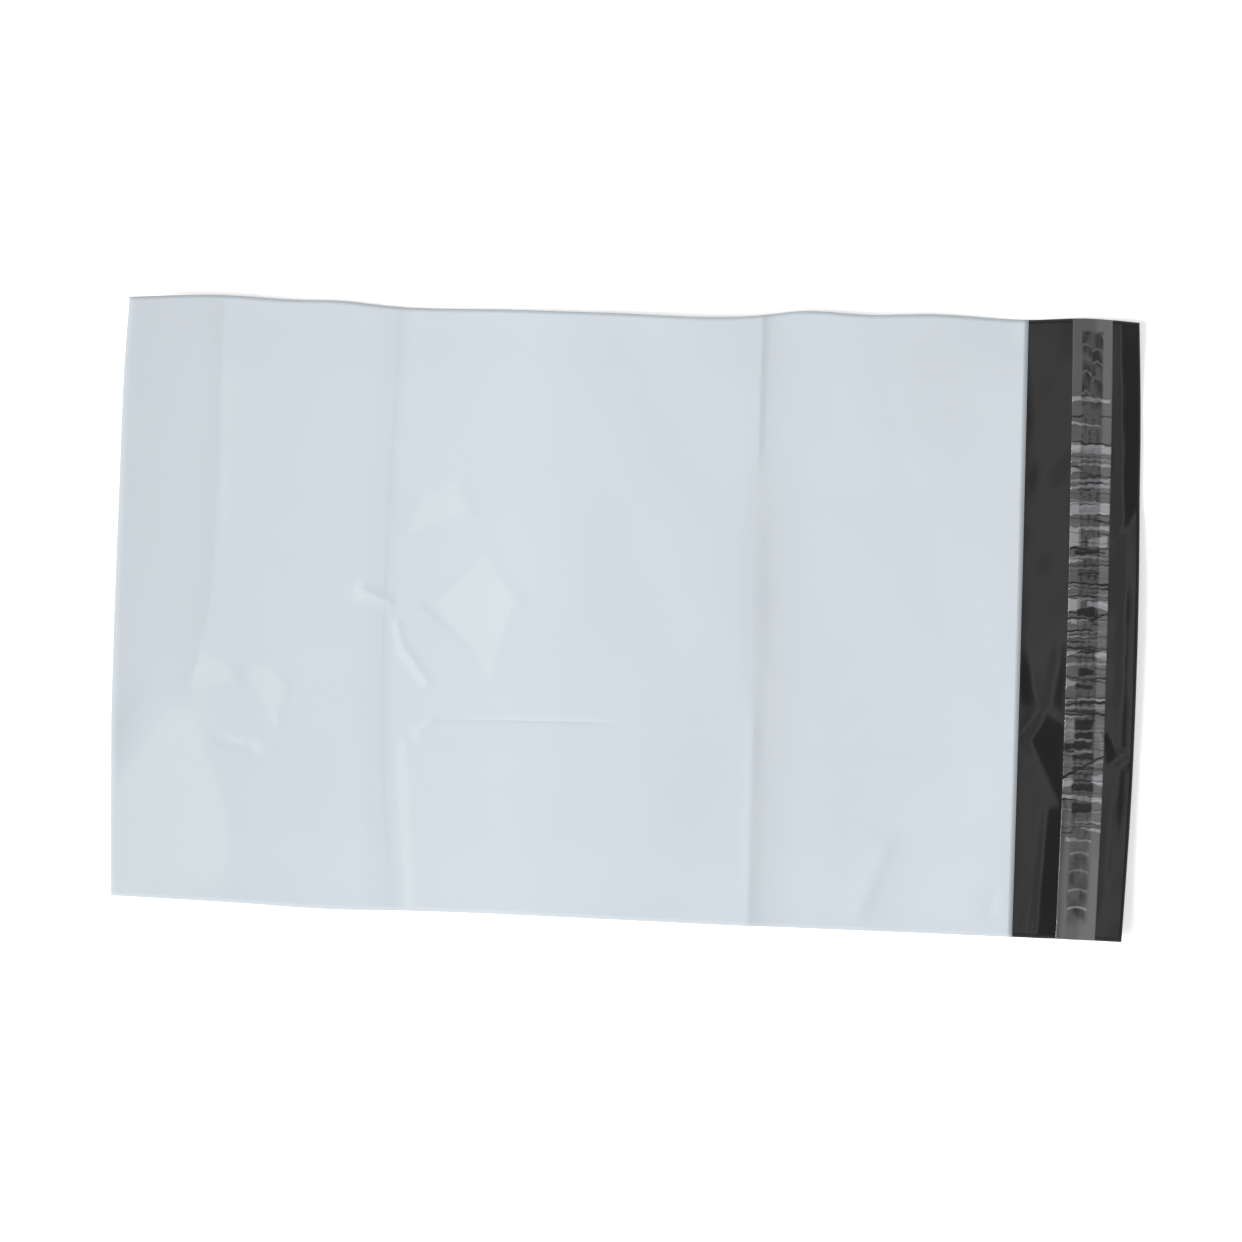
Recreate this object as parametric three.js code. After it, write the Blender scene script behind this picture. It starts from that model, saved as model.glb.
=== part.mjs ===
// A poly mailer bag, empty and lying flat with its flap open: one sheet of co-extruded polythene film,
// folded at the bottom and welded along both sides, with a strip of hot-melt adhesive on the flap under a
// translucent release liner. Millimetres, +Z up. +X runs from the bottom fold to the flap's free edge, +Y
// across the bag, and the back panel rests on Z = 0. The origin is under the middle of the whole length and
// width.
import * as THREE from "three";

// The film blank
const filmThickness = 0.07;
const bagWidth = 280;
const bagLength = 420; // bottom fold to mouth
const flapLength = 50; // mouth to the flap's free edge
const weldWidth = 2; // each side weld, from the cut edge inwards

// The bottom fold, and the air between the two panels
const foldRadius = 0.22; // outside of the pressed fold
const panelGap = 1.6;
const mouthGap = 1.1; // more air at the middle of the open mouth
const gapRiseFromWeld = 34;
const gapRiseFromFold = 46;
const mouthRise = 45;
const creasePinch = 0.75; // share of the air that a pack crease squeezes out
const pinchWidth = 13;

// Creases across the bag from its time in a pack, by distance from the bottom fold, and the relief they
// leave
const endCrease = 42; // the bottom end stands up a little before it
const valleyCrease = 125;
const ridgeCrease = 296;
const endLift = 3.2;
const endLiftSkew = 0.25; // share by which the bottom end stands higher at its +Y corner
const valleyDepth = 1.3; // of the valley below the low humps on both sides of it
const valleyReach = 60;
const ridgeHeight = 2.4;
const ridgeReachBack = 54; // towards the bottom fold
const ridgeReachOn = 26; // towards the mouth
const flapLift = 2.6;
const flapWave = 0.5;
const flapWaveCount = 1.5; // waves along the flap's free edge

// Adhesive and liner on the inside of the flap, by distance from the mouth
const linerStart = 20;
const linerWidth = 18;
const linerThickness = 0.05;
const adhesiveWidth = 9; // along the middle of the liner
const adhesiveThickness = 0.12;
const adhesiveEndMargin = 5; // bare film between the adhesive's ends and the bag's edges
const layerClearance = 0.05; // between film, adhesive and liner

// Fineness of the facets
const plainStep = 18;
const creaseStep = 5;
const creaseZone = 20; // on both sides of a crease
const flapStep = 5;
const acrossStep = 26;
const noseSteps = 4;
const sameStation = 1e-6; // stations closer than this are one

const wholeLength = bagLength + flapLength;
const halfWidth = bagWidth / 2;
const weldLine = halfWidth - weldWidth;

// Rises smoothly from 0 to 1 as t goes from 0 to 1
function ease(t) {
  const c = Math.min(Math.max(t, 0), 1);
  return c * c * (3 - 2 * c);
}

// The film beside a sharp valley: 0 in it, a top of 1 at a third of the reach, which the 27 / 4 brings
// about, and level again from the reach on
function besideValley(distance) {
  const t = Math.min(Math.abs(distance) / valleyReach, 1);
  return (27 / 4) * t * (1 - t) ** 2;
}

// The film beside a sharp ridge: 1 on it, and level from the reach on
function besideRidge(distance) {
  const reach = distance < 0 ? ridgeReachBack : ridgeReachOn;
  return Math.max(1 - Math.abs(distance) / reach, 0) ** 2;
}

// Height of the back panel's lower face over the ground, at distance s from the bottom fold and y from the
// middle
function backHeight(s, y) {
  const end = endLift * Math.max(1 - s / endCrease, 0) * (1 + (endLiftSkew * y) / halfWidth);
  const valley = valleyDepth * besideValley(s - valleyCrease);
  const ridge = ridgeHeight * besideRidge(s - ridgeCrease);
  const wave = flapWave * Math.cos((flapWaveCount * Math.PI * y) / halfWidth);
  const flap = (flapLift + wave) * (Math.max(s - bagLength, 0) / flapLength) ** 2;
  return end + valley + ridge + flap;
}

// Air between the two panels: none in the side welds, little in the bottom fold and the creases
function airGap(s, y) {
  const inFold = 2 * (foldRadius - filmThickness);
  const fromWeld = ease((weldLine - Math.abs(y)) / gapRiseFromWeld);
  const pinch = [valleyCrease, ridgeCrease].reduce(
    (left, crease) => left * (1 - creasePinch * Math.exp(-(((s - crease) / pinchWidth) ** 2))),
    1,
  );
  const body = (panelGap - inFold) * ease((s - foldRadius) / gapRiseFromFold) * pinch;
  const mouth = mouthGap * ease((s - bagLength + mouthRise) / mouthRise);
  return (inFold + body + mouth) * fromWeld;
}

// Heights of the film's four faces
const lowerFace = (s, y) => backHeight(s, y);
const innerFloor = (s, y) => backHeight(s, y) + filmThickness;
const innerCeiling = (s, y) => innerFloor(s, y) + airGap(s, y);
const upperFace = (s, y) => innerCeiling(s, y) + filmThickness;

// Sorted values through all the given ones, no two further apart than the step that holds between them
function stations(fixed, stepAt) {
  const sorted = [...new Set(fixed)].sort((a, b) => a - b);
  return sorted.flatMap((start, k) => {
    if (k === sorted.length - 1) return [start];
    const span = sorted[k + 1] - start;
    const count = Math.ceil(span / stepAt(start, sorted[k + 1]));
    return Array.from({ length: count }, (_, n) => start + (span * n) / count);
  });
}

const linerEnd = linerStart + linerWidth;
const adhesiveStart = linerStart + (linerWidth - adhesiveWidth) / 2;
const adhesiveEnd = adhesiveStart + adhesiveWidth;
const adhesiveReach = halfWidth - adhesiveEndMargin;

// Stations along the body and the flap, and across the bag. The adhesive and the liner take theirs from the
// same lists, so that their facets lie parallel to the flap's.
const creases = [endCrease, valleyCrease, ridgeCrease];
const creaseMarks = creases.flatMap((c) => [c - creaseZone, c, c + creaseZone]);
const bodyMarks = [foldRadius, ...creaseMarks.filter((s) => s > foldRadius && s < bagLength), bagLength];
const nextToCrease = (start, end) => creases.includes(start) || creases.includes(end);
const alongBody = stations(bodyMarks, (start, end) => (nextToCrease(start, end) ? creaseStep : plainStep));
const flapMarks = [0, linerStart, adhesiveStart, adhesiveEnd, linerEnd, flapLength];
const alongFlap = stations(flapMarks.map((d) => bagLength + d), () => flapStep);
const acrossMarks = [halfWidth, weldLine, adhesiveReach, weldLine - gapRiseFromWeld];
const across = stations(acrossMarks.flatMap((y) => [-y, y]), () => acrossStep);

const column = (rows, j) => rows.map((row) => row.at(j));

// Collects vertices and faces of one closed body, in the part's frame
class Body {
  constructor() {
    this.points = [];
    this.faces = [];
  }

  point(s, y, z) {
    this.points.push(s - wholeLength / 2, y, z);
    return this.points.length / 3 - 1;
  }

  // A face over a loop of vertices that runs anticlockwise seen from outside
  face(...loop) {
    const corners = loop.filter((v, k) => v !== loop[(k + 1) % loop.length]);
    for (let k = 1; k + 1 < corners.length; k++) this.faces.push(corners[0], corners[k], corners[k + 1]);
  }

  // Faces over a grid of vertices, rows along X and columns along Y, facing up or down. The diagonals run
  // the same way in both, so that the two faces of a film are parallel.
  sheet(rows, facesUp) {
    for (let i = 0; i + 1 < rows.length; i++) {
      for (let j = 0; j + 1 < rows[i].length; j++) {
        const [a, b, c, d] = [rows[i][j], rows[i + 1][j], rows[i + 1][j + 1], rows[i][j + 1]];
        if ([a, b, c, d].includes(undefined)) continue;
        this.face(...(facesUp ? [a, b, c, d] : [a, d, c, b]));
      }
    }
  }

  // Faces between two lines of vertices of the same length: seen from outside, the first line is the lower
  // one and both run to the right
  band(low, high) {
    for (let k = 0; k + 1 < low.length; k++) this.face(low[k], low[k + 1], high[k + 1], high[k]);
  }

  geometry() {
    const made = new THREE.BufferGeometry();
    made.setAttribute("position", new THREE.Float32BufferAttribute(this.points, 3));
    made.setIndex(this.faces);
    made.computeVertexNormals();
    return made;
  }
}

// The film: back panel and flap, bottom fold, front panel, and the pocket between the panels, open at the
// mouth
function filmGeometry() {
  const body = new Body();
  const grid = (along, height) => along.map((s) => across.map((y) => body.point(s, y, height(s, y))));
  const [firstWeld, lastWeld] = [across.indexOf(-weldLine), across.indexOf(weldLine)];
  const pocketGrid = (height, inside) =>
    alongBody.map((s) => across.map((y, j) => (inside(j) ? body.point(s, y, height(s, y)) : undefined)));

  const under = grid(alongBody, lowerFace);
  const top = grid(alongBody, upperFace);
  const floor = pocketGrid(innerFloor, (j) => j >= firstWeld && j <= lastWeld);
  const ceiling = pocketGrid(innerCeiling, (j) => j > firstWeld && j < lastWeld);
  // The welds close the pocket on both sides
  ceiling.forEach((row, i) => [firstWeld, lastWeld].forEach((j) => (row[j] = floor[i][j])));

  const mouth = alongBody.length - 1;
  const underFlap = [under[mouth], ...grid(alongFlap.slice(1), lowerFace)];
  const flapRoot = across.map((y, j) => floor[mouth][j] ?? body.point(bagLength, y, innerFloor(bagLength, y)));
  const onFlap = [flapRoot, ...grid(alongFlap.slice(1), innerFloor)];

  body.sheet(under, false);
  body.sheet(underFlap, false);
  body.sheet(top, true);
  body.sheet(floor, true);
  body.sheet(ceiling, false);
  body.sheet(onFlap, true);

  // Rows of a half-round wall from a low row to a high one at the bottom fold, bulging towards -X by its
  // own radius
  const nose = (low, high) => {
    const between = Array.from({ length: noseSteps - 1 }, (_, n) => Math.PI * ((n + 1) / noseSteps - 0.5));
    const rows = between.map((angle) =>
      across.map((y, j) => {
        if (low[j] === high[j]) return low[j];
        const [zLow, zHigh] = [low[j], high[j]].map((v) => body.points[3 * v + 2]);
        const radius = (zHigh - zLow) / 2;
        return body.point(foldRadius - radius * Math.cos(angle), y, zLow + radius * (1 + Math.sin(angle)));
      }),
    );
    return [low, ...rows, high];
  };
  const foldOutside = nose(under[0], top[0]);
  body.sheet(foldOutside, true);
  body.sheet(nose(floor[0], ceiling[0]), false);
  const firstEnd = column(foldOutside, 0);
  body.face(firstEnd[0], ...firstEnd.slice(1).reverse());
  body.face(...column(foldOutside, -1));

  // The mouth's rim, and the ends of the two welds beside it
  body.band(ceiling[mouth].slice(firstWeld, lastWeld + 1), top[mouth].slice(firstWeld, lastWeld + 1));
  body.band(flapRoot.slice(0, firstWeld + 1), top[mouth].slice(0, firstWeld + 1));
  body.band(flapRoot.slice(lastWeld), top[mouth].slice(lastWeld));

  // The bag's cut side edges, whose last face also meets the flap, then the flap's cut edges
  const [underFirst, topFirst, rootFirst] = [column(under, 0), column(top, 0), flapRoot[0]];
  const [underLast, topLast, rootLast] = [column(under, -1), column(top, -1), flapRoot.at(-1)];
  const prev = mouth - 1;
  body.band(underFirst.slice(0, mouth), topFirst.slice(0, mouth));
  body.band(topLast.slice(0, mouth), underLast.slice(0, mouth));
  body.face(underFirst[prev], underFirst[mouth], rootFirst, topFirst[mouth], topFirst[prev]);
  body.face(underLast[prev], topLast[prev], topLast[mouth], rootLast, underLast[mouth]);
  body.band(column(underFlap, 0), column(onFlap, 0));
  body.band(column(onFlap, -1), column(underFlap, -1));
  body.band(underFlap.at(-1), onFlap.at(-1));
  return body.geometry();
}

// A strip that lies over the flap between two distances from the mouth, out to reach on both sides
function stripGeometry(start, end, reach, height, thickness) {
  const body = new Body();
  const [first, last] = [bagLength + start - sameStation, bagLength + end + sameStation];
  const along = alongFlap.filter((s) => s >= first && s <= last);
  const over = across.filter((y) => Math.abs(y) <= reach + sameStation);
  const grid = (extra) => along.map((s) => over.map((y) => body.point(s, y, innerFloor(s, y) + height + extra)));
  const [under, top] = [grid(0), grid(thickness)];
  body.sheet(under, false);
  body.sheet(top, true);
  body.band(column(under, 0), column(top, 0));
  body.band(column(top, -1), column(under, -1));
  body.band(under.at(-1), top.at(-1));
  body.band(top[0], under[0]);
  return body.geometry();
}

const adhesiveHeight = layerClearance;
const linerHeight = adhesiveHeight + adhesiveThickness + layerClearance;
const adhesiveGeometry = () =>
  stripGeometry(adhesiveStart, adhesiveEnd, adhesiveReach, adhesiveHeight, adhesiveThickness);
const linerGeometry = () => stripGeometry(linerStart, linerEnd, halfWidth, linerHeight, linerThickness);

// The film is white outside and black inside, and takes the white as its one colour
const film = new THREE.MeshStandardMaterial({ color: 0xd4dbe1, roughness: 0.32, metalness: 0 });
const adhesive = new THREE.MeshStandardMaterial({ color: 0x3a3a3c, roughness: 0.2, metalness: 0 });
const liner = new THREE.MeshStandardMaterial({ color: 0x8f8f94, roughness: 0.25, metalness: 0 });
liner.transparent = true;
liner.opacity = 0.5;

function named(name, geometry, material) {
  const mesh = new THREE.Mesh(geometry, material);
  mesh.name = name;
  return mesh;
}

const mailer = new THREE.Group();
mailer.add(named("mailer_bag", filmGeometry(), film));
mailer.add(named("adhesive_strip", adhesiveGeometry(), adhesive));
mailer.add(named("release_liner", linerGeometry(), liner));

export default mailer;
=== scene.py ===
import math

import bpy
import numpy as np
from mathutils import Matrix, Vector


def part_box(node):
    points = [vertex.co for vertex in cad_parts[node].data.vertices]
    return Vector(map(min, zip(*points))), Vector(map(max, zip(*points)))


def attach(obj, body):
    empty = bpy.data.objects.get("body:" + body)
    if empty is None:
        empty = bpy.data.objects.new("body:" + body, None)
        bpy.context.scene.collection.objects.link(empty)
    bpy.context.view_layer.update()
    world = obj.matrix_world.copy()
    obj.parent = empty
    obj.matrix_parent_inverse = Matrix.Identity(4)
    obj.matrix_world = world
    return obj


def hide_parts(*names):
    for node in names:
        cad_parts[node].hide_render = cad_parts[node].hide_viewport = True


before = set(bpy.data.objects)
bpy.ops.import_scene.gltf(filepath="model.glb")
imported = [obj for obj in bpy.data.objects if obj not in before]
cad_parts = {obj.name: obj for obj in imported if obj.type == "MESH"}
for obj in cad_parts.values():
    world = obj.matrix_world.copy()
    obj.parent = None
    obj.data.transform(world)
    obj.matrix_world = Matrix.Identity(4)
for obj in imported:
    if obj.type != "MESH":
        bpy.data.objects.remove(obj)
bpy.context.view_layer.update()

# Camera
# The mailer is seen from almost straight above, by a 70 mm lens, a little from the side of the flap. The
# bottom fold is at the left and the black flap at the right.
camera_place = Vector((0.1029, -0.0072, 1.1146))
camera_look = Vector((-0.0905, 0.0032, -0.9959)).normalized()
camera_up = Vector((-0.0347, 0.9994, 0.0063))

camera = bpy.data.objects.new("camera", bpy.data.cameras.new("camera"))
camera.data.lens = 70
camera.data.sensor_width = 36
camera_right = camera_look.cross(camera_up).normalized()
camera_axes = (camera_right, camera_right.cross(camera_look), -camera_look)
camera.matrix_world = Matrix.Translation(camera_place) @ Matrix(camera_axes).transposed().to_4x4()
bpy.context.scene.collection.objects.link(camera)
bpy.context.scene.camera = camera


# Film bag
# One sheet of blown polythene film, white outside and black inside, folded once at the bottom and welded
# along both sides. Its back panel runs on past the mouth as the flap.

# Lengths are in millimetres here: s is the distance from the bottom fold and y the place across the bag.
film_thickness = 0.07
fold_radius = 0.22
mouth_at = 420
weld_width = 2
weld_slack = 0.03
bag_low, bag_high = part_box("mailer_bag")
mm = 0.001
bag_start = round(bag_low.x / mm)
whole_length = round((bag_high.x - bag_low.x) / mm)
half_width = round(bag_high.y / mm)
weld_line = half_width - weld_width


def ease(t):
    """Rises smoothly from 0 to 1 as t goes from 0 to 1: 3 t squared less 2 t cubed."""
    t = np.clip(t, 0, 1)
    return t * t * (3 - 2 * t)


def through(points, at):
    """A smooth curve through a few points: on each stretch, the cubic whose slopes at its ends are those of
    the line through the neighbours on both sides."""
    x, value = np.array(points, float).T
    slope = np.gradient(value, x)
    k = np.clip(np.searchsorted(x, at) - 1, 0, len(x) - 2)
    span = x[k + 1] - x[k]
    t = np.clip((at - x[k]) / span, 0, 1)
    start = value[k] * (1 + 2 * t) * (1 - t) ** 2 + slope[k] * span * t * (1 - t) ** 2
    end = value[k + 1] * t * t * (3 - 2 * t) - slope[k + 1] * span * t * t * (1 - t)
    return start + end


def crease(s, y, start, end, height, width, tip=0.6, fade=0.2):
    """A fold line from start to end. Across it, the height falls off as e to the minus distance over width,
    with the tip rounded to a radius. Along it, the height eases to nothing over the last share, fade."""
    (s0, y0), (s1, y1) = start, end
    length = math.hypot(s1 - s0, y1 - y0)
    along = ((s - s0) * (s1 - s0) + (y - y0) * (y1 - y0)) / length**2
    across = ((s - s0) * (y1 - y0) - (y - y0) * (s1 - s0)) / length
    ends = ease(along / fade) * ease((1 - along) / fade)
    return height * ends * np.exp(-(np.sqrt(across**2 + tip**2) - tip) / width)


def bump(s, y, centre, reach, height):
    """A soft rise or dent: height at the centre, falling off as a bell curve with a reach along the bag and
    another across it."""
    (s0, y0), (along, across) = centre, reach
    return height * np.exp(-(((s - s0) / along) ** 2) - ((y - y0) / across) ** 2)


def waves(s, y, seed, count, longest, shortest, height):
    """Slack in the film: a sum of plane waves in random directions, each with a height in proportion to its
    length, so that all of them slope alike."""
    random = np.random.default_rng(seed)
    lengths = np.geomspace(longest, shortest, count)
    total = 0
    for length in lengths:
        heading, phase = random.uniform(0, 2 * math.pi, 2)
        travel = s * math.cos(heading) + y * math.sin(heading)
        total = total + length / longest * np.sin(2 * math.pi * travel / length + phase)
    return height * total / math.sqrt(count)


# How far the film's edges stray from the straight, in the plan
top_edge = [(0, 0.4), (43, 2.7), (78, 1.5), (98, 1.6), (124, -0.4), (180, -0.8), (222, -1.3), (300, -0.6)]
top_edge += [(312, 1.2), (350, 0.5), (375, 1.5), (420, 0.2), (445, 1.3), (470, -0.2)]
bottom_edge = [(0, -0.7), (50, -1.6), (110, -2.9), (128, -2.4), (160, -1.8), (300, -1.6), (470, -1.0)]
fold_edge = [(-140, 1.2), (-96, -0.4), (-26, -1.2), (45, -1.0), (116, -0.4), (140, 0.6)]
mouth_edge = [(-140, 0.6), (0, -0.2), (140, -1.4)]
flap_edge = [(-140, -0.6), (-122, 0.2), (-77, 1.8), (-9, 2.2), (59, 1.2), (105, 0.1), (140, -1.8)]


def plan(s, y):
    """Place of the film's point (s, y) seen from above, in metres: each edge strays as its own curve says,
    and what lies between shares the strays of the edges in proportion."""
    side = (y / half_width + 1) / 2
    sideways = side * through(top_edge, s) + (1 - side) * through(bottom_edge, s)
    to_mouth = np.clip(s / mouth_at, 0, 1)
    past_mouth = np.clip((s - mouth_at) / (whole_length - mouth_at), 0, 1)
    body = (1 - to_mouth) * through(fold_edge, y) + to_mouth * through(mouth_edge, y)
    forwards = (1 - past_mouth) * body + past_mouth * through(flap_edge, y)
    return (bag_start + s + forwards) * mm, (y + sideways) * mm


# The film lies on the table in soft slopes between its creases. A slope mirrors the same part of the room
# all along where it is a parabola round a line: its height is the square of the distance from that line,
# over mirror_length. The lines of the bottom end, of its corner at -Y and of the valley are given.
mirror_length = 2860
end_line = 168
corner_line = 106
valley_crease = 125
valley_end = 188
base_height = 1.43
rise_steps = 4001


def rise(slopes, at):
    """Height of a line with the slopes given as (place, slope), which run evenly from one to the next. It is
    the sum of the slopes up to each place."""
    places = np.linspace(slopes[0][0], slopes[-1][0], rise_steps)
    slope = np.interp(places, *np.array(slopes, float).T)
    height = np.concatenate([[0], np.cumsum((slope[1:] + slope[:-1]) / 2 * np.diff(places))])
    return np.interp(at, places, height)


def end_crease_at(y):
    """Where the end crease runs: it wanders along the bag as it crosses it."""
    return through([(-140, 55), (-96, 54), (-70, 43), (-44, 37), (-8, 43.5), (60, 46), (140, 45)], y)


def end_lift(s, y):
    """The bottom end stands up before its crease as a parabola, a little steeper just before it. In the
    corner at -Y, beyond a soft fold, the parabola is flatter."""
    crease_at = end_crease_at(y)
    corner_from = through([(0, -84), (13, -66), (34, -57), (52, -52), (470, -52)], s)
    line = end_line - (end_line - corner_line) * ease((corner_from + 34 - y) / 42)
    inside = np.minimum(s, crease_at)
    parabola = ((line - inside) ** 2 - (line - crease_at) ** 2) / mirror_length
    steep = rise([(-60, 0), (-10, 0), (-5, -0.025), (-0.6, -0.035), (0.4, 0), (470, 0)], s - crease_at)
    return parabola + (0.2 + steep) * ease((y + 60) / 60)


def valley(s, y):
    """From the end crease the film falls and rises again as one parabola round the valley crease, which is a
    shallow dip with a fine line in it. Then it eases out into a level stretch. Near both sides a narrow
    stretch beyond the crease climbs more."""
    bowl = (np.clip(s, end_crease_at(y), valley_end) - valley_crease) ** 2 / mirror_length
    brow = rise([(0, 0), (valley_end, 0), (valley_end + 0.1, 0.044), (258, 0), (470, 0)], s)
    at = s + through([(-140, -7.5), (-120, -6.5), (-80, -3.5), (45, -2), (110, -3.5), (140, -3.5)], y)
    dip_slopes = [(-20, 0), (113, 0), (117, -0.026), (122, -0.04), (124.4, -0.045), (124.7, -0.1)]
    dip_slopes += [(125.4, -0.1), (125.8, -0.045), (128, -0.03), (131, 0), (480, 0)]
    beside = rise([(-20, 0), (131.2, 0), (131.6, 0.015), (136, 0.015), (136.6, 0), (480, 0)], at)
    near_sides = ease((-56 - y) / 9) + 0.7 * ease((y - 96) / 20)
    return bowl + brow + rise(dip_slopes, at) + beside * near_sides


def ridge(s, y):
    """The crease beyond the middle, where the film steps down. At +Y it is a sharp edge, in the middle it is
    rounded, and at -Y the film rises a little right before it."""
    at = s + through([(-140, -4), (-80, -4.5), (20, -3), (110, -3), (140, -2.6)], y)
    sharp = [(-20, 0), (295.4, 0), (295.7, -0.19), (297.0, -0.19), (297.3, -0.1), (300, -0.09)]
    sharp += [(303, -0.04), (306, 0), (480, 0)]
    soft = [(-20, 0), (287, 0), (293, -0.045), (296, -0.09), (301, -0.105), (304, -0.07)]
    soft += [(310, -0.04), (318, 0), (480, 0)]
    stepped = [(-20, 0), (290, 0), (291, 0.02), (294.6, 0.03), (295.1, -0.13), (300, -0.13)]
    stepped += [(302, -0.09), (310, -0.05), (319, 0), (480, 0)]
    at_top = ease((y - 55) / 35)
    at_bottom = ease((-y - 20) / 40)
    in_middle = 1 - at_top - at_bottom
    return at_top * rise(sharp, at) + at_bottom * rise(stepped, at) + in_middle * rise(soft, at)


def mouth_droop(s, y):
    """Before the mouth, the film sinks a little at +Y."""
    sinking = rise([(0, 0), (335, 0), (370, -0.028), (410, -0.028), (422, 0), (480, 0)], s)
    return sinking * ease((y - 20) / 80)


def facet(s, y, corners, tilt, border):
    """A crisp facet of the film: inside the corners, given anticlockwise, a plane that is level with its
    surroundings at its middle and tilted along the bag. It eases out over the border, by the distance
    inwards from the nearest side."""
    middle = sum(s0 for s0, y0 in corners) / len(corners)
    inwards = math.inf
    for (s0, y0), (s1, y1) in zip(corners, corners[1:] + corners[:1]):
        from_side = ((s1 - s0) * (y - y0) - (y1 - y0) * (s - s0)) / math.hypot(s1 - s0, y1 - y0)
        inwards = np.minimum(inwards, from_side)
    return tilt * (s - middle) * ease(inwards / border)


def lie(s, y):
    """Height at which the two panels would lie on each other without air: the end, the valley, the step
    beyond the middle, the facets and creases, and the flap, which lifts towards its free edge."""
    body = base_height + end_lift(s, y) + valley(s, y) + ridge(s, y) + mouth_droop(s, y)
    past = np.clip((s - mouth_at) / (whole_length - mouth_at), 0, 1)
    free_edge = 2.2 + 0.5 * np.cos(1.5 * math.pi * y / half_width)
    folded = np.where(s > mouth_at - 20, flap_folds(s, y), 0)
    return body + free_edge * past**2 + folded + pressed_in(s, y)


def flap_folds(s, y):
    """Folds pressed into the flap: facets that slope down along the bag beside the mouth, a long fold beyond
    the liner and a dimple at the side of its lower end."""
    inside = ease((s - mouth_at + 2) / 8)
    folds = facet(s, y, [(414, -40), (433, -35), (425, -6), (414, -2)], -0.07, 7)
    folds += facet(s, y, [(429, -37), (445, -47), (445, -4), (434, -4)], -0.08, 6)
    folds += facet(s, y, [(420, -51), (445, -88), (445, -42), (430, -35)], -0.09, 5)
    folds += facet(s, y, [(427, -148), (445, -148), (445, -80), (431, -80)], -0.1, 3.5)
    folds += crease(s, y, (421, -50), (442, -81), 0.12, 1.6, fade=0.15)
    folds += facet(s, y, [(459, 40), (476, 56), (476, 150), (456, 150)], -0.11, 5)
    folds += crease(s, y, (464.4, 66), (463.6, -118), 0.3, 1.6, tip=0.5, fade=0.3)
    folds += crease(s, y, (461.0, -60), (460.0, -138), 0.3, 1.4, tip=0.5, fade=0.3)
    folds += facet(s, y, [(454, -44), (456, -61), (471, -58)], -0.16, 2.5)
    folds += crease(s, y, (464, -57.5), (469, -61), 0.5, 1.0, tip=0.3)
    folds += bump(s, y, (455, -20), (9, 34), 0.5)
    slack = waves(s, y, seed=5, count=9, longest=60, shortest=14, height=0.22)
    return (folds + slack) * inside


def air_gap(s, y):
    """Air between the panels. It is shut at the welds, thin at the fold and wide at the mouth."""
    in_body, at_mouth = 1.2, 0.6
    in_fold = 2 * (fold_radius - film_thickness)
    body = (in_body - in_fold) * ease((s - fold_radius) / 60)
    mouth = at_mouth * ease((s - mouth_at + 30) / 30)
    return weld_slack + (in_fold + body + mouth) * ease((weld_line - np.abs(y)) / 34)


def pressed_in(s, y):
    """Slack of the film, longer across the bag than along it and weaker near the bottom end, and the facets
    and small creases pressed into it. They all fade towards the bottom fold."""
    slack = waves(s, 0.45 * y, seed=11, count=9, longest=150, shortest=34, height=0.5)
    slack = slack * (0.2 + 0.8 * ease((s - 190) / 60))
    tilt = 0.0105
    facets = facet(s, y, [(142, 2), (181, -33), (194, 6), (173, 32)], tilt, 4)
    facets += facet(s, y, [(130, 32), (172, 43), (162, 62), (139, 56)], tilt, 4)
    facets += facet(s, y, [(30, -43), (60, -39), (64, -28), (38, -26)], tilt, 3)
    facets += facet(s, y, [(59, -37), (80, -60), (85, -38), (77, -28), (54, -28)], tilt, 3)
    folds = crease(s, y, (150, -51), (242, -49), -0.28, 0.75, tip=0.15, fade=0.25)
    folds += crease(s, y, (153, -50), (142, -60), 0.2, 1.1, tip=0.3)
    folds += crease(s, y, (132, -4), (137, -22), 0.28, 1.1, tip=0.25)
    folds += crease(s, y, (136, -17), (150, -36), 0.32, 1.1, tip=0.25)
    folds += crease(s, y, (113, 9), (132, 2), 0.4, 2.2, tip=0.3)
    folds += crease(s, y, (46, -64.5), (71, -68.5), -0.28, 1.1, tip=0.3)
    folds += crease(s, y, (364, -94), (347, -139), 0.6, 4.0)
    folds += crease(s, y, (408, -134), (413, -119), -0.2, 2.0, tip=0.8, fade=0.4)
    folds += bump(s, y, (415.5, -124), (4, 5), 0.22)
    return (slack + facets + folds) * ease((s - fold_radius) / 20)


def back_relief(s, y):
    """Height of the back panel's lower face over the table: half the air is under where the panels would
    lie. Beyond the mouth the flap goes on from there."""
    return np.maximum(lie(s, y) - air_gap(np.minimum(s, mouth_at), y) / 2, 0)


def stations(start, end, count, crowded):
    """Values from start to end that crowd together near some places, given as (place, boost, reach): their
    density is 1, and rises by the boost as a bell curve round each place."""
    fine = np.linspace(start, end, 8000)
    density = 1 + sum(boost * np.exp(-(((fine - place) / reach) ** 2)) for place, boost, reach in crowded)
    total = np.concatenate([[0], np.cumsum((density[1:] + density[:-1]) / 2)])
    return np.interp(np.linspace(0, total[-1], count), total, fine)


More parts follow.
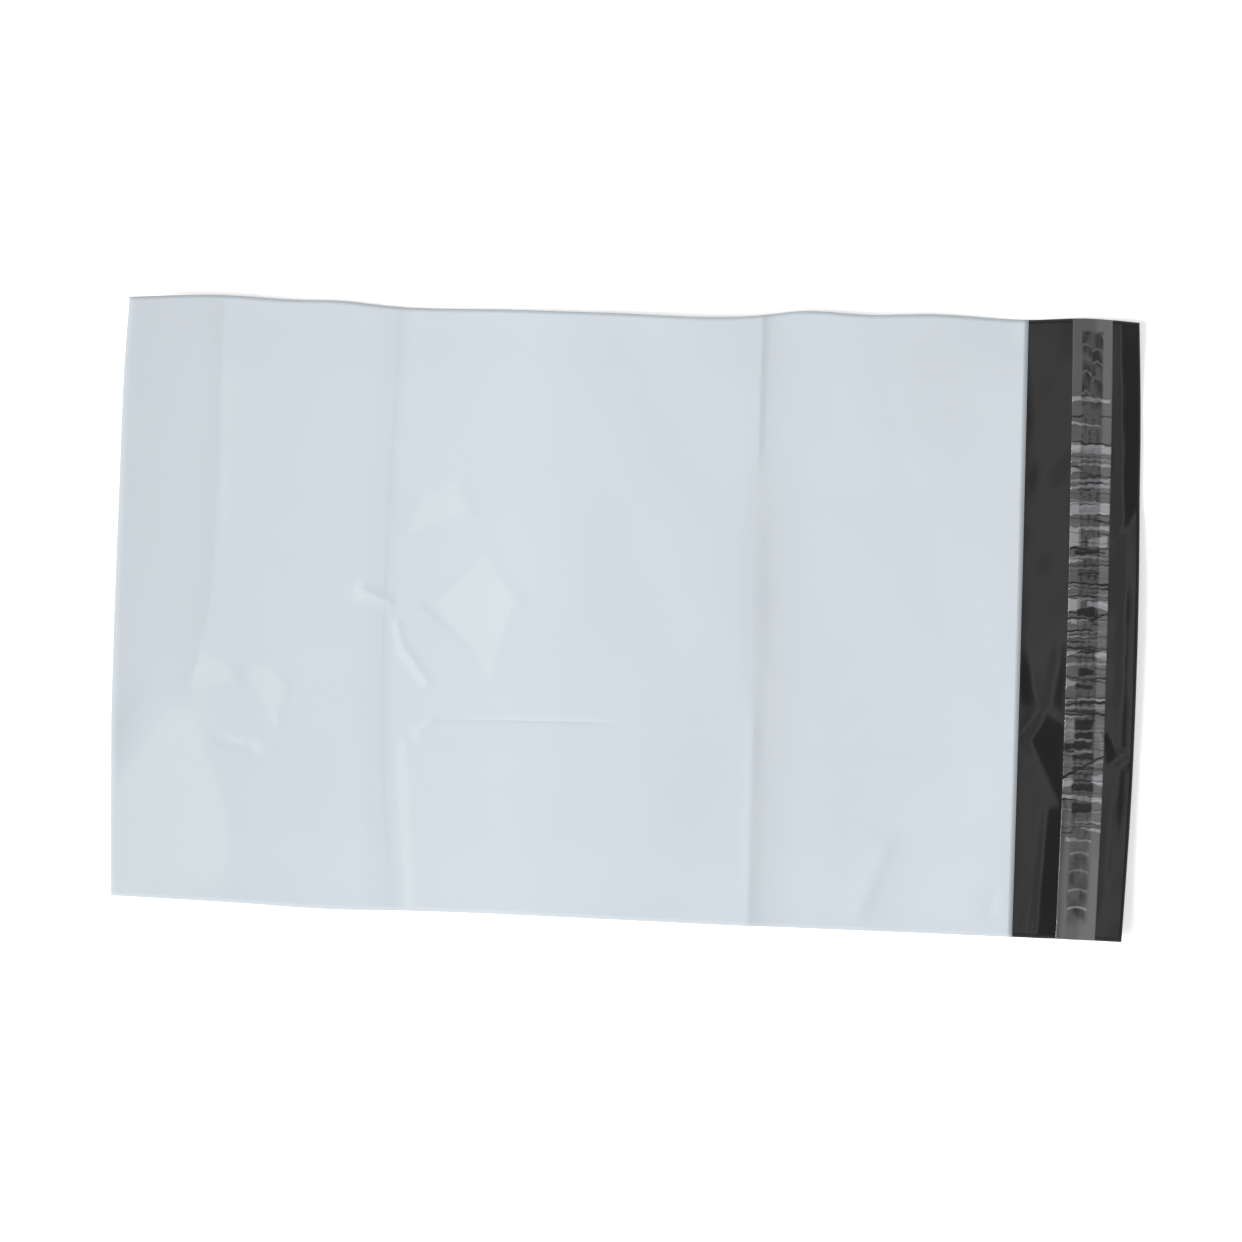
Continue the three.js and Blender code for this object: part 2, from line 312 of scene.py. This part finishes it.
# The mesh is finer where the film creases, above all in the front panel.
front_rows = 212
back_rows = 82
flap_rows = 34
nose_rows = 6
columns = 148
front_crowded = [(42, 3, 4), (125, 5, 5), (295, 6, 4), (100, 0.8, 70), (411, 1.5, 6)]
back_crowded = [(8, 1.5, 8), (43, 3.5, 5), (125, 5, 5), (137, 4, 4), (295, 6, 5), (308, 3, 9), (346, 1, 10)]
across_crowded = [(-50, 7, 2.2), (-5, 1, 55)]
along_front = stations(fold_radius, mouth_at, front_rows, front_crowded)
along_back = stations(fold_radius, mouth_at, back_rows, back_crowded)
along_back = np.concatenate([along_back, np.linspace(mouth_at, whole_length, flap_rows)[1:]])
across = stations(-weld_line, weld_line, columns - 2, across_crowded)
across = np.concatenate([[-half_width], across, [half_width]])


def film_faces():
    """The film's outer and inner face, as two grids of points with the same rows. The rows run from the
    mouth down the front panel, round the bottom fold and up the back panel to the flap's free edge. Each
    face's fold is half a circle between its heights on the two panels."""
    s, y = np.meshgrid(along_front, across, indexing="ij")
    ceiling = back_relief(s, y) + film_thickness + air_gap(s, y)
    back_s, back_y = np.meshgrid(along_back, across, indexing="ij")
    lower = back_relief(back_s, back_y)
    turn = np.linspace(math.pi / 2, -math.pi / 2, nose_rows + 2)[1:-1, None]
    faces = []
    for front, back in ((ceiling + film_thickness, lower), (ceiling, lower + film_thickness)):
        radius = (front[0] - back[0]) / 2
        nose_s = fold_radius - radius * np.cos(turn)
        nose_z = (front[0] + back[0]) / 2 + radius * np.sin(turn)
        nose_y = np.broadcast_to(across, nose_s.shape)
        all_s = np.concatenate([s[::-1], nose_s, back_s])
        all_y = np.concatenate([y[::-1], nose_y, back_y])
        all_z = np.concatenate([front[::-1], nose_z, back])
        faces.append(np.stack([*plan(all_s, all_y), all_z * mm], axis=-1))
    return faces


def slab(outer, inner):
    """A closed body between two grids of points with the same rows and columns. Gives the points, the four
    corners of each face, and for each face 0 on the outer grid, 1 on the inner one and 2 on the rim."""
    rows, cols = outer.shape[:2]
    first = np.arange(rows * cols).reshape(rows, cols)
    second = first + rows * cols
    loop = np.concatenate([first[0, :-1], first[:-1, -1], first[-1, :0:-1], first[:0:-1, 0]])
    ahead = np.roll(loop, -1)
    over = np.stack([first[:-1, :-1], first[1:, :-1], first[1:, 1:], first[:-1, 1:]], axis=-1)
    over = over.reshape(-1, 4)
    under = np.stack([second[:-1, :-1], second[:-1, 1:], second[1:, 1:], second[1:, :-1]], axis=-1)
    under = under.reshape(-1, 4)
    rim = np.stack([loop, ahead, ahead + rows * cols, loop + rows * cols], axis=-1)
    points = np.concatenate([outer.reshape(-1, 3), inner.reshape(-1, 3)])
    kinds = np.repeat([0, 1, 2], [len(over), len(under), len(rim)])
    return points, np.concatenate([over, under, rim]), kinds


def make_piece(name, points, corners, kinds, materials):
    """A mesh object of those points and faces: smooth on both grids and flat on the rim. The materials are
    those of the outer grid, the inner grid and the rim."""
    mesh = bpy.data.meshes.new(name)
    mesh.from_pydata(points.tolist(), [], corners.tolist())
    used = list(dict.fromkeys(materials))
    for material in used:
        mesh.materials.append(material)
    mesh.polygons.foreach_set("material_index", np.array([used.index(m) for m in materials])[kinds])
    mesh.polygons.foreach_set("use_smooth", kinds < 2)
    mesh.update()
    piece = bpy.data.objects.new(name, mesh)
    bpy.context.scene.collection.objects.link(piece)
    return piece


def node(tree, kind, settings=(), **inputs):
    """A new node with the given settings. An input is a value or another node's socket."""
    made = tree.nodes.new(kind)
    for key, value in dict(settings).items():
        setattr(made, key, value)
    for key, value in inputs.items():
        socket = made.inputs[key.replace("_", " ")]
        if isinstance(value, bpy.types.NodeSocket):
            tree.links.new(value, socket)
        else:
            socket.default_value = value
    return made


def blown_film_grain():
    """Node group: the grain of blown film on Object coordinates. Height is a fine haze with draw lines that
    run along the bag, and Mottle a soft cloud."""
    group = bpy.data.node_groups.new("blown_film_grain", "ShaderNodeTree")
    group.interface.new_socket("Draw Lines", in_out="INPUT", socket_type="NodeSocketFloat")
    group.interface.new_socket("Height", in_out="OUTPUT", socket_type="NodeSocketFloat")
    group.interface.new_socket("Mottle", in_out="OUTPUT", socket_type="NodeSocketFloat")
    given = group.nodes.new("NodeGroupInput")
    result = group.nodes.new("NodeGroupOutput")
    place = node(group, "ShaderNodeTexCoord").outputs["Object"]
    stretched = node(group, "ShaderNodeMapping", Vector=place, Scale=(14, 260, 14)).outputs["Vector"]
    lines = node(group, "ShaderNodeTexNoise", Vector=stretched, Scale=1.0, Detail=3.0).outputs["Fac"]
    haze = node(group, "ShaderNodeTexNoise", Vector=place, Scale=420.0, Detail=4.0).outputs["Fac"]
    mixed = node(group, "ShaderNodeMix", Factor=given.outputs["Draw Lines"], A=haze, B=lines)
    cloud = node(group, "ShaderNodeTexNoise", Vector=place, Scale=22.0, Detail=5.0, Roughness=0.6)
    group.links.new(mixed.outputs["Result"], result.inputs["Height"])
    group.links.new(cloud.outputs["Fac"], result.inputs["Mottle"])
    return group


def mix_colours(tree, factor, dark, light):
    """Colour between two, by a factor from 0 to 1. A Mix node for colours takes them at its inputs 6 and 7
    and gives the result at its output 2."""
    mix = node(tree, "ShaderNodeMix", {"data_type": "RGBA"})
    tree.links.new(factor, mix.inputs[0])
    mix.inputs[6].default_value = (*dark, 1)
    mix.inputs[7].default_value = (*light, 1)
    return mix.outputs[2]


grain_group = blown_film_grain()


def film_material(name, dark, light, roughness, coat, coat_roughness, lines, depth):
    """Polythene film: a satin body between two near colours and two roughnesses in soft clouds, a gloss over
    it, and the grain of blown film, with a share of draw lines, as a bump of the given depth in metres."""
    material = bpy.data.materials.new(name)
    material.use_nodes = True
    tree = material.node_tree
    shader = tree.nodes["Principled BSDF"]
    grain = node(tree, "ShaderNodeGroup", {"node_tree": grain_group})
    grain.inputs["Draw Lines"].default_value = lines
    tree.links.new(mix_colours(tree, grain.outputs["Mottle"], dark, light), shader.inputs["Base Color"])
    satin = node(tree, "ShaderNodeMapRange", Value=grain.outputs["Mottle"])
    satin.inputs["To Min"].default_value = roughness[0]
    satin.inputs["To Max"].default_value = roughness[1]
    tree.links.new(satin.outputs["Result"], shader.inputs["Roughness"])
    relief = node(tree, "ShaderNodeBump", Height=grain.outputs["Height"], Strength=1.0, Distance=depth)
    tree.links.new(relief.outputs["Normal"], shader.inputs["Normal"])
    shader.inputs["Specular IOR Level"].default_value = 0.15
    shader.inputs["Coat Weight"].default_value = coat
    shader.inputs["Coat Roughness"].default_value = coat_roughness
    return material


white_film = film_material(
    "white_film", dark=(0.620, 0.682, 0.731), light=(0.645, 0.708, 0.757), roughness=(0.40, 0.50),
    coat=0.9, coat_roughness=0.04, lines=0.5, depth=0.000003,
)
black_film = film_material(
    "black_film", dark=(0.004, 0.004, 0.0045), light=(0.010, 0.010, 0.0105), roughness=(0.30, 0.42),
    coat=1.0, coat_roughness=0.14, lines=0.6, depth=0.000008,
)

film = make_piece("film_bag", *slab(*film_faces()), [white_film, black_film, white_film])
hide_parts("mailer_bag")
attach(film, "root")


# Adhesive
# A strip of clear pressure-sensitive hot melt on the black inside of the flap, run on in one pass, so that
# its ends are rounded and its edges a little wavy.
adhesive_start = 444.5
adhesive_width = 9
adhesive_thickness = 0.12
adhesive_reach = half_width - 5
adhesive_end = 4
layer_clearance = 0.05


def on_flap(s, y, height):
    """A point over the flap's upper face, at a height in millimetres, as metres."""
    z = back_relief(s, y) + film_thickness + height
    return np.stack([*plan(s, y), z * mm], axis=-1)


def adhesive_faces():
    """The strip's upper and lower face. Its width narrows to a round end, a quarter of an ellipse at each
    side, its edges stray by a slow wave, and its thickness swells and thins along it."""
    along = np.linspace(-adhesive_reach, adhesive_reach, 300)
    t, y = np.meshgrid(np.linspace(-1, 1, 13), along, indexing="ij")
    from_end = np.minimum((adhesive_reach - np.abs(y)) / adhesive_end, 1)
    half = adhesive_width / 2 * np.sqrt(np.maximum(1 - (1 - from_end) ** 2, 0.02))
    half = half - 0.25 + 0.25 * np.sin(y / 3.1) * np.sin(y / 7.7 + 1)
    s = adhesive_start + adhesive_width / 2 + t * half
    thick = adhesive_thickness * (0.85 + 0.15 * np.sin(y / 5.3)) * (1 - 0.6 * t**6)
    return on_flap(s, y, layer_clearance + thick), on_flap(s, y, layer_clearance)


def adhesive_material():
    """Clear hot melt over black film: nearly black and wet looking, with small swirls."""
    material = bpy.data.materials.new("hot_melt")
    material.use_nodes = True
    tree = material.node_tree
    shader = tree.nodes["Principled BSDF"]
    place = node(tree, "ShaderNodeTexCoord").outputs["Object"]
    swirl = node(tree, "ShaderNodeTexNoise", Vector=place, Scale=260.0, Detail=4.0, Distortion=1.5)
    colour = mix_colours(tree, swirl.outputs["Fac"], (0.008, 0.008, 0.008), (0.03, 0.03, 0.031))
    tree.links.new(colour, shader.inputs["Base Color"])
    relief = node(tree, "ShaderNodeBump", Height=swirl.outputs["Fac"], Strength=1.0, Distance=0.0001)
    tree.links.new(relief.outputs["Normal"], shader.inputs["Normal"])
    shader.inputs["Roughness"].default_value = 0.18
    return material


hot_melt = adhesive_material()
adhesive = make_piece("hot_melt_strip", *slab(*adhesive_faces()), [hot_melt] * 3)
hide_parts("adhesive_strip")
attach(adhesive, "root")


# Release liner
# A strip of thin translucent film over the adhesive, from edge to edge of the flap. It sticks along its
# middle and has buckled into many short folds that run across it: hazy where it stands off and dark where
# it sticks. The shine of its raised folds and the shade in its creases are painted into its colour.
liner_start = 440
liner_width = 18
liner_thickness = 0.05
liner_rows = 37
liner_columns = 1200
small_fold_count = 230
# Arches near the -Y end of the liner: where each crosses the bag, and the strength of its painted highlight
arches = [(-101.6, 0.8), (-109.6, 0.7), (-118.2, 0.9), (-126.2, 1.5)]

# Folds of the liner: the middle of each across the bag, how much further it lies at the side of the free
# edge, its widths at the two sides, where it starts and ends within the liner, and its tone. Above 0 it
# stands up and shines by a painted highlight, and below 0 it is a crease darkened by painted shade.
liner_folds = [
    (103.7, -0.9, 2.4, 1.6, 0, 17, 1.0), (92.1, -2.0, 1.4, 0.6, 0, 13, 1.0),
    (81.5, -0.6, 5.1, 3.5, 0, 18, 1.0), (83.6, 0, 0.6, 0.6, 4.5, 13.5, -0.9),
    (74.5, -0.4, 0.8, 1.6, 4, 18, 0.8), (70.2, -3.6, 3.4, 0, 0, 6.5, 0.9),
    (67.2, 0.7, 0.9, 1.6, 0, 18, 0.7), (65.9, 1.0, 0.3, 0.6, 4, 14, -0.9),
    (64.6, 1.4, 0.8, 1.8, 0, 18, 0.8), (62.9, 1.0, 0.4, 0.8, 3, 9, -0.8),
    (54.5, 0.4, 6.0, 5.0, 0, 18, 1.0), (56.3, 0, 0.7, 0.7, 4.5, 13.5, -1.0),
    (41.4, 0, 10, 7.5, 0, 5, 1.0), (45.7, 0.6, 1.0, 2.2, 4, 18, 0.9), (39.2, 1.2, 3.0, 5.6, 9, 17, 0.9),
    (35.7, -1.6, 1.2, 0.5, 0, 13, -1.2), (34.5, 0.8, 1.8, 0.4, 3, 16, -1.4),
    (32.6, 0.6, 0.9, 0.9, 0, 18, 0.6), (30.6, -0.4, 2.0, 1.2, 0, 6, 1.0),
    (28.9, 0.6, 0.6, 0.6, 6, 18, -0.7), (20.4, -0.6, 0.6, 1.0, 0, 18, -1.2),
    (18.6, -0.4, 0.4, 0.7, 3, 18, -0.8), (11.0, 0.4, 6.2, 3.8, 0, 5.5, 1.1),
    (11.6, -1.2, 2.4, 4.0, 9, 18, 1.0), (13.6, 1.5, 1.4, 0.4, 5, 12, 0.9),
    (8.0, 1.0, 2.4, 3.6, 4.5, 12, -0.9), (4.2, 1.5, 0.8, 0.8, 0, 9, 0.9),
    (2.4, -1.0, 1.6, 0.6, 2, 11, 0.8), (3.6, 7.5, 0.9, 0.5, 10.5, 18, -1.4),
    (-0.6, 1.0, 0.8, 0.6, 0, 11, -1.1), (-3.4, 0.6, 0.6, 1.0, 0, 10, 0.7),
    (-5.4, 1.4, 0.7, 0.7, 0, 8, -0.8), (-10.9, -1.0, 3.4, 4.8, 13, 18, 0.9),
    (-9.6, 3.5, 2.4, 0.6, 0, 6, 0.8), (-15.6, 0.8, 1.6, 1.0, 0, 18, 0.6),
    (-19.4, 1.0, 3.6, 2.2, 6, 12, -1.0), (-23.5, 2.5, 4.2, 0.4, 0, 6, 0.8),
    (-23.0, 3.0, 0.4, 0.8, 12, 18, -1.0), (-26.2, -0.6, 1.8, 1.2, 5, 12, -0.9),
    (-31.6, 0.5, 1.8, 1.0, 0, 18, 0.7), (-33.4, 1.8, 0.6, 1.1, 0, 18, -1.3),
    (-35.4, 0.4, 1.0, 1.0, 0, 18, 0.5), (-37.6, -0.8, 0.6, 1.0, 0, 18, -0.7),
    (-39.4, 0.6, 1.1, 0.6, 0, 10, 0.9), (-43.2, 0.3, 4.8, 4.0, 5, 12, -1.1),
    (-45.0, 1.0, 9.0, 9.0, 0, 4.6, 0.35), (-48.0, 0.2, 2.2, 3.0, 5, 12.5, -1.1),
    (-50.0, 0, 0.8, 0.8, 5, 12.5, 0.7), (-52.4, 0.4, 3.4, 2.6, 5, 12, -1.1),
    (-53.2, 0, 3.6, 1.8, 0, 4.8, -0.9), (-55.2, 0.4, 1.0, 1.0, 5, 12.5, 0.9),
    (-57.6, 1.4, 2.0, 2.8, 4.5, 13, -0.8), (-61.9, 10.5, 1.3, 0.7, 0, 18, -1.6),
    (-63.6, 9.5, 0.7, 1.1, 3, 18, 0.3), (-68.9, 1.0, 4.6, 3.0, 0, 4.8, 1.0),
    (-67.4, -0.6, 3.6, 5.4, 13.2, 18, 0.8), (-71.6, 0, 2.8, 2.8, 4.5, 13.5, -0.8),
    (-76.2, -1.4, 1.6, 2.6, 0, 18, 0.9), (-80.7, 0.6, 4.8, 3.6, 5, 13, -1.4),
    (-86.9, -0.8, 0.8, 1.4, 6, 18, 0.6), (-89.8, -1.0, 0.6, 1.9, 9, 18, 0.8),
    (-95.2, -0.8, 1.8, 1.0, 3, 14, 0.8),
]


def small_folds():
    """Fine folds between the large ones, in random places, widths and tones: above 0 a tone is a painted
    highlight, below 0 painted shade. Some cross the whole liner, and the others only one of its sides or
    its middle."""
    random = np.random.default_rng(17)
    spans = [(0, 18), (0, 5), (13, 18), (4.5, 13.5)]
    folds = []
    for _ in range(small_fold_count):
        middle = random.uniform(-98, 101)
        start, end = spans[random.integers(len(spans))]
        widths = random.uniform(0.2, 0.9, 2)
        climb = random.normal(0, 1.2)
        folds.append((middle, climb, *widths, start, end, random.uniform(-0.75, 0.5)))
    return folds


def scallops(off, y):
    """Arched folds where the liner lets go of the adhesive, one under another, lit by a painted highlight: at
    each, a thin band of brighter colour bent into an arch over the adhesive."""
    total = 0
    for middle, painted_sheen_and_tone in arches:
        arch = middle + 0.9 * (1 - ((off - 9) / 4) ** 2)
        total = total + painted_sheen_and_tone * ease(1 - np.abs(y - arch) / 0.9) * ease(4.8 - np.abs(off - 9))
    return total


def liner_relief(s, y):
    """Height of the liner over its rest, and its haze from 0 to 1, which also holds painted light: a painted
    highlight where a fold stands up and painted shade in a crease. Each fold is a band with crisp edges that
    lies at its own slant. Over the adhesive the haze is weaker, and near both ends the film sticks there in
    dark blots parted by thin arches."""
    off = s - liner_start
    bent = y + 0.2 * np.sin(1.3 * off + y / 2.7) + 0.15 * np.sin(0.5 * off - y / 1.3)
    soft = ease((-y - 88) / 14)
    stuck = ease((adhesive_width / 2 + 0.5 + soft - np.abs(off - 9)) / (0.8 + 2.6 * soft))
    stuck = stuck * ease((adhesive_reach - np.abs(y)) / (1.5 + 6 * soft))
    painted_sheen_and_tone = 0
    lift = 0
    for middle, climb, first_width, last_width, start, end, strength in liner_folds + small_folds():
        apart = np.abs(bent - middle - climb * (off / liner_width - 0.5))
        width = first_width + (last_width - first_width) * np.clip((off - start) / (end - start), 0, 1)
        span = ease((off - start) / 0.7 + 1) * ease((end - off) / 0.7 + 1)
        painted_sheen_and_tone = painted_sheen_and_tone + strength * span * ease((width / 2 - apart) / 0.35 + 0.5)
        lift = lift + max(strength, 0) * span * ease((width / 2 - apart) / 0.9 + 0.5)
    half = off - 8.6
    cell = y / 7.2 + 0.3 * (half > 0) + 0.04 * (np.abs(half) - 2.4) ** 2 + 0.16 * np.sin(y / 3.9)
    cell = cell + 0.05 * np.sin(2.7 * off + 1.3 * y)
    parted = ease((0.12 - np.abs(cell - np.round(cell))) / 0.08) + 0.5 * ease((0.3 - np.abs(half)) / 0.3)
    cloud = waves(off * 2, y, seed=31, count=8, longest=14, shortest=2, height=1)
    blots = ease((np.abs(y) - 96) / 8) * stuck * (0.75 + 0.9 * cloud)
    painted_sheen_and_tone = painted_sheen_and_tone + blots * (np.minimum(parted, 1) * np.where(y > 0, 0.7, 0.2) - 0.45) + scallops(off, y)
    sides = 0.25 + 0.1 * ease((off - 9) / 3) + 0.05 * ease((-y - 90) / 20)
    streaks = waves(off * 2.5, y * 0.7, seed=41, count=10, longest=7, shortest=2, height=1)
    painted_sheen_and_tone = painted_sheen_and_tone - 0.3 * ease((streaks - 0.2) / 0.3) * ease((100 - np.abs(y)) / 6) * stuck
    # Painted light: the tones lighten the haze on raised folds and arches and darken it in creases
    haze = (1 - stuck) * (sides + 0.42 * painted_sheen_and_tone) + stuck * (0.18 + 0.07 * soft + 0.32 * painted_sheen_and_tone)
    return 0.35 * lift * (1 - 0.5 * stuck), np.clip(haze, 0, 1)


def liner_faces():
    """The liner's upper and lower face, and its haze at each point, with the folds' painted shine and shade.
    The flap is stretched in plan towards its middle, and the liner keeps its own width."""
    along = np.linspace(liner_start, liner_start + liner_width, liner_rows)
    s, y = np.meshgrid(along, np.linspace(-half_width, half_width, liner_columns), indexing="ij")
    lift, haze = liner_relief(s, y)
    shrunk = 1 - 0.055 * np.cos(math.pi * y / (2 * half_width))
    s = liner_start + (s - liner_start) * shrunk
    height = layer_clearance * 2 + adhesive_thickness + lift
    return on_flap(s, y, height + liner_thickness), on_flap(s, y, height), haze


def liner_material():
    """Translucent film: milky where it stands off the flap, and clear and dark where it sticks. The haze
    attribute also paints the folds' shine and the creases' shade into the base colour.
    """
    material = bpy.data.materials.new("liner_film")
    material.use_nodes = True
    tree = material.node_tree
    shader = tree.nodes["Principled BSDF"]
    haze = node(tree, "ShaderNodeAttribute", {"attribute_name": "haze"}).outputs["Fac"]
    # Painted light: the haze lightens the base colour for the folds' shine and darkens it for the creases'
    # shade
    colour = mix_colours(tree, haze, (0.004, 0.004, 0.005), (0.42, 0.42, 0.44))
    tree.links.new(colour, shader.inputs["Base Color"])
    veil = node(tree, "ShaderNodeMapRange", Value=haze)
    veil.inputs["To Min"].default_value = 0.55
    veil.inputs["To Max"].default_value = 0.95
    tree.links.new(veil.outputs["Result"], shader.inputs["Alpha"])
    grain = node(tree, "ShaderNodeGroup", {"node_tree": grain_group})
    grain.inputs["Draw Lines"].default_value = 0.2
    relief = node(tree, "ShaderNodeBump", Height=grain.outputs["Height"], Strength=1.0, Distance=0.00002)
    tree.links.new(relief.outputs["Normal"], shader.inputs["Normal"])
    shader.inputs["Roughness"].default_value = 0.25
    shader.inputs["Coat Weight"].default_value = 0.5
    shader.inputs["Coat Roughness"].default_value = 0.1
    return material


liner_top, liner_under, liner_haze_and_sheen = liner_faces()
liner_film = liner_material()
liner = make_piece("liner_strip", *slab(liner_top, liner_under), [liner_film] * 3)
# The haze attribute carries the liner's milkiness and the painted shine and shade of its folds
haze_and_sheen = liner.data.attributes.new("haze", "FLOAT", "POINT")
haze_and_sheen.data.foreach_set("value", np.tile(liner_haze_and_sheen.ravel(), 2))
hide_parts("release_liner")
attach(liner, "root")


# Table and light
# A white table, lit by a wide soft light from the left. Over it hang a pale ceiling, a narrow strip that
# gives the light patches on the white film, and softer lights that the black flap mirrors.
def light_panel(name, place, size, radiance, colour=(1, 1, 1), target=None):
    """A rectangular soft light that the camera doesn't see. It faces its target, or else straight down.
    Radiance is 1 where a mirror would show white."""
    target = target or (place[0], place[1], 0)
    data = bpy.data.lights.new(name, "AREA")
    data.shape = "RECTANGLE"
    data.size, data.size_y = size
    data.energy = radiance * math.pi * size[0] * size[1]
    data.color = colour
    lamp = bpy.data.objects.new(name, data)
    lamp.location = place
    lamp.rotation_euler = (Vector(target) - Vector(place)).to_track_quat("-Z", "Y").to_euler()
    lamp.visible_camera = False
    bpy.context.scene.collection.objects.link(lamp)


light_panel("wide_light", (-10.0, -4.4, 6.6), (7.2, 7.2), 11.55, target=(0, 0, 0))
light_panel("strip_light", (-0.592, -0.15, 2.0), (0.14, 0.9), 0.62, colour=(0.95, 1.0, 0.6))
light_panel("white_ceiling", (-0.55, 0, 2.1), (2.1, 2.2), 0.33)
light_panel("flap_light", (0.32, 0.2, 2.0), (0.2, 0.68), 0.42)

# Four panels over one another, each longer than the one before, so that their light fades out towards the
# middle of the bag
for k in range(4):
    light_panel(f"corner_light_{k}", (0.22, -0.35 + 0.03 * k, 2 + 0.01 * k), (0.4, 0.26 + 0.06 * k), 0.09)

# A room that is bright at the horizon and dim overhead, and that the camera sees as white
world = bpy.data.worlds.new("room")
world.use_nodes = True
bpy.context.scene.world = world
room = world.node_tree
direction = node(room, "ShaderNodeTexCoord").outputs["Generated"]
upwards = node(room, "ShaderNodeSeparateXYZ", Vector=direction).outputs["Z"]
shade = node(room, "ShaderNodeMapRange", Value=upwards)
shade.inputs["To Min"].default_value = 0.85
shade.inputs["To Max"].default_value = 0.17
rays = node(room, "ShaderNodeLightPath")
shown = node(room, "ShaderNodeMath", {"operation": "MAXIMUM"})
room.links.new(shade.outputs["Result"], shown.inputs[0])
room.links.new(rays.outputs["Is Camera Ray"], shown.inputs[1])
room.links.new(shown.outputs[0], room.nodes["Background"].inputs["Strength"])
room.nodes["Background"].inputs["Color"].default_value = (1, 1, 1, 1)


def table_material():
    """White table top, which the camera sees as pure white apart from the shadows on it, and which can't be
    seen from below."""
    material = bpy.data.materials.new("table_top")
    material.use_nodes = True
    tree = material.node_tree
    shader = tree.nodes["Principled BSDF"]
    shader.inputs["Base Color"].default_value = (0.93, 0.93, 0.93, 1)
    shader.inputs["Roughness"].default_value = 0.9
    shader.inputs["Specular IOR Level"].default_value = 0.0
    shader.inputs["Emission Color"].default_value = (1, 1, 1, 1)
    seen = node(tree, "ShaderNodeLightPath").outputs["Is Camera Ray"]
    glow = node(tree, "ShaderNodeMath", {"operation": "MULTIPLY"})
    tree.links.new(seen, glow.inputs[0])
    glow.inputs[1].default_value = 0.4
    tree.links.new(glow.outputs[0], shader.inputs["Emission Strength"])
    clear = node(tree, "ShaderNodeBsdfTransparent")
    below = node(tree, "ShaderNodeNewGeometry").outputs["Backfacing"]
    either = node(tree, "ShaderNodeMixShader")
    tree.links.new(below, either.inputs[0])
    tree.links.new(shader.outputs["BSDF"], either.inputs[1])
    tree.links.new(clear.outputs["BSDF"], either.inputs[2])
    tree.links.new(either.outputs[0], tree.nodes["Material Output"].inputs["Surface"])
    return material


table_half = 4.0
table_mesh = bpy.data.meshes.new("table_top")
table_corners = [(-table_half, -table_half, 0), (table_half, -table_half, 0)]
table_corners += [(table_half, table_half, 0), (-table_half, table_half, 0)]
table_mesh.from_pydata(table_corners, [], [(0, 1, 2, 3)])
table_mesh.materials.append(table_material())
table = bpy.data.objects.new("table_top", table_mesh)
bpy.context.scene.collection.objects.link(table)

bpy.context.scene.view_settings.view_transform = "Standard"
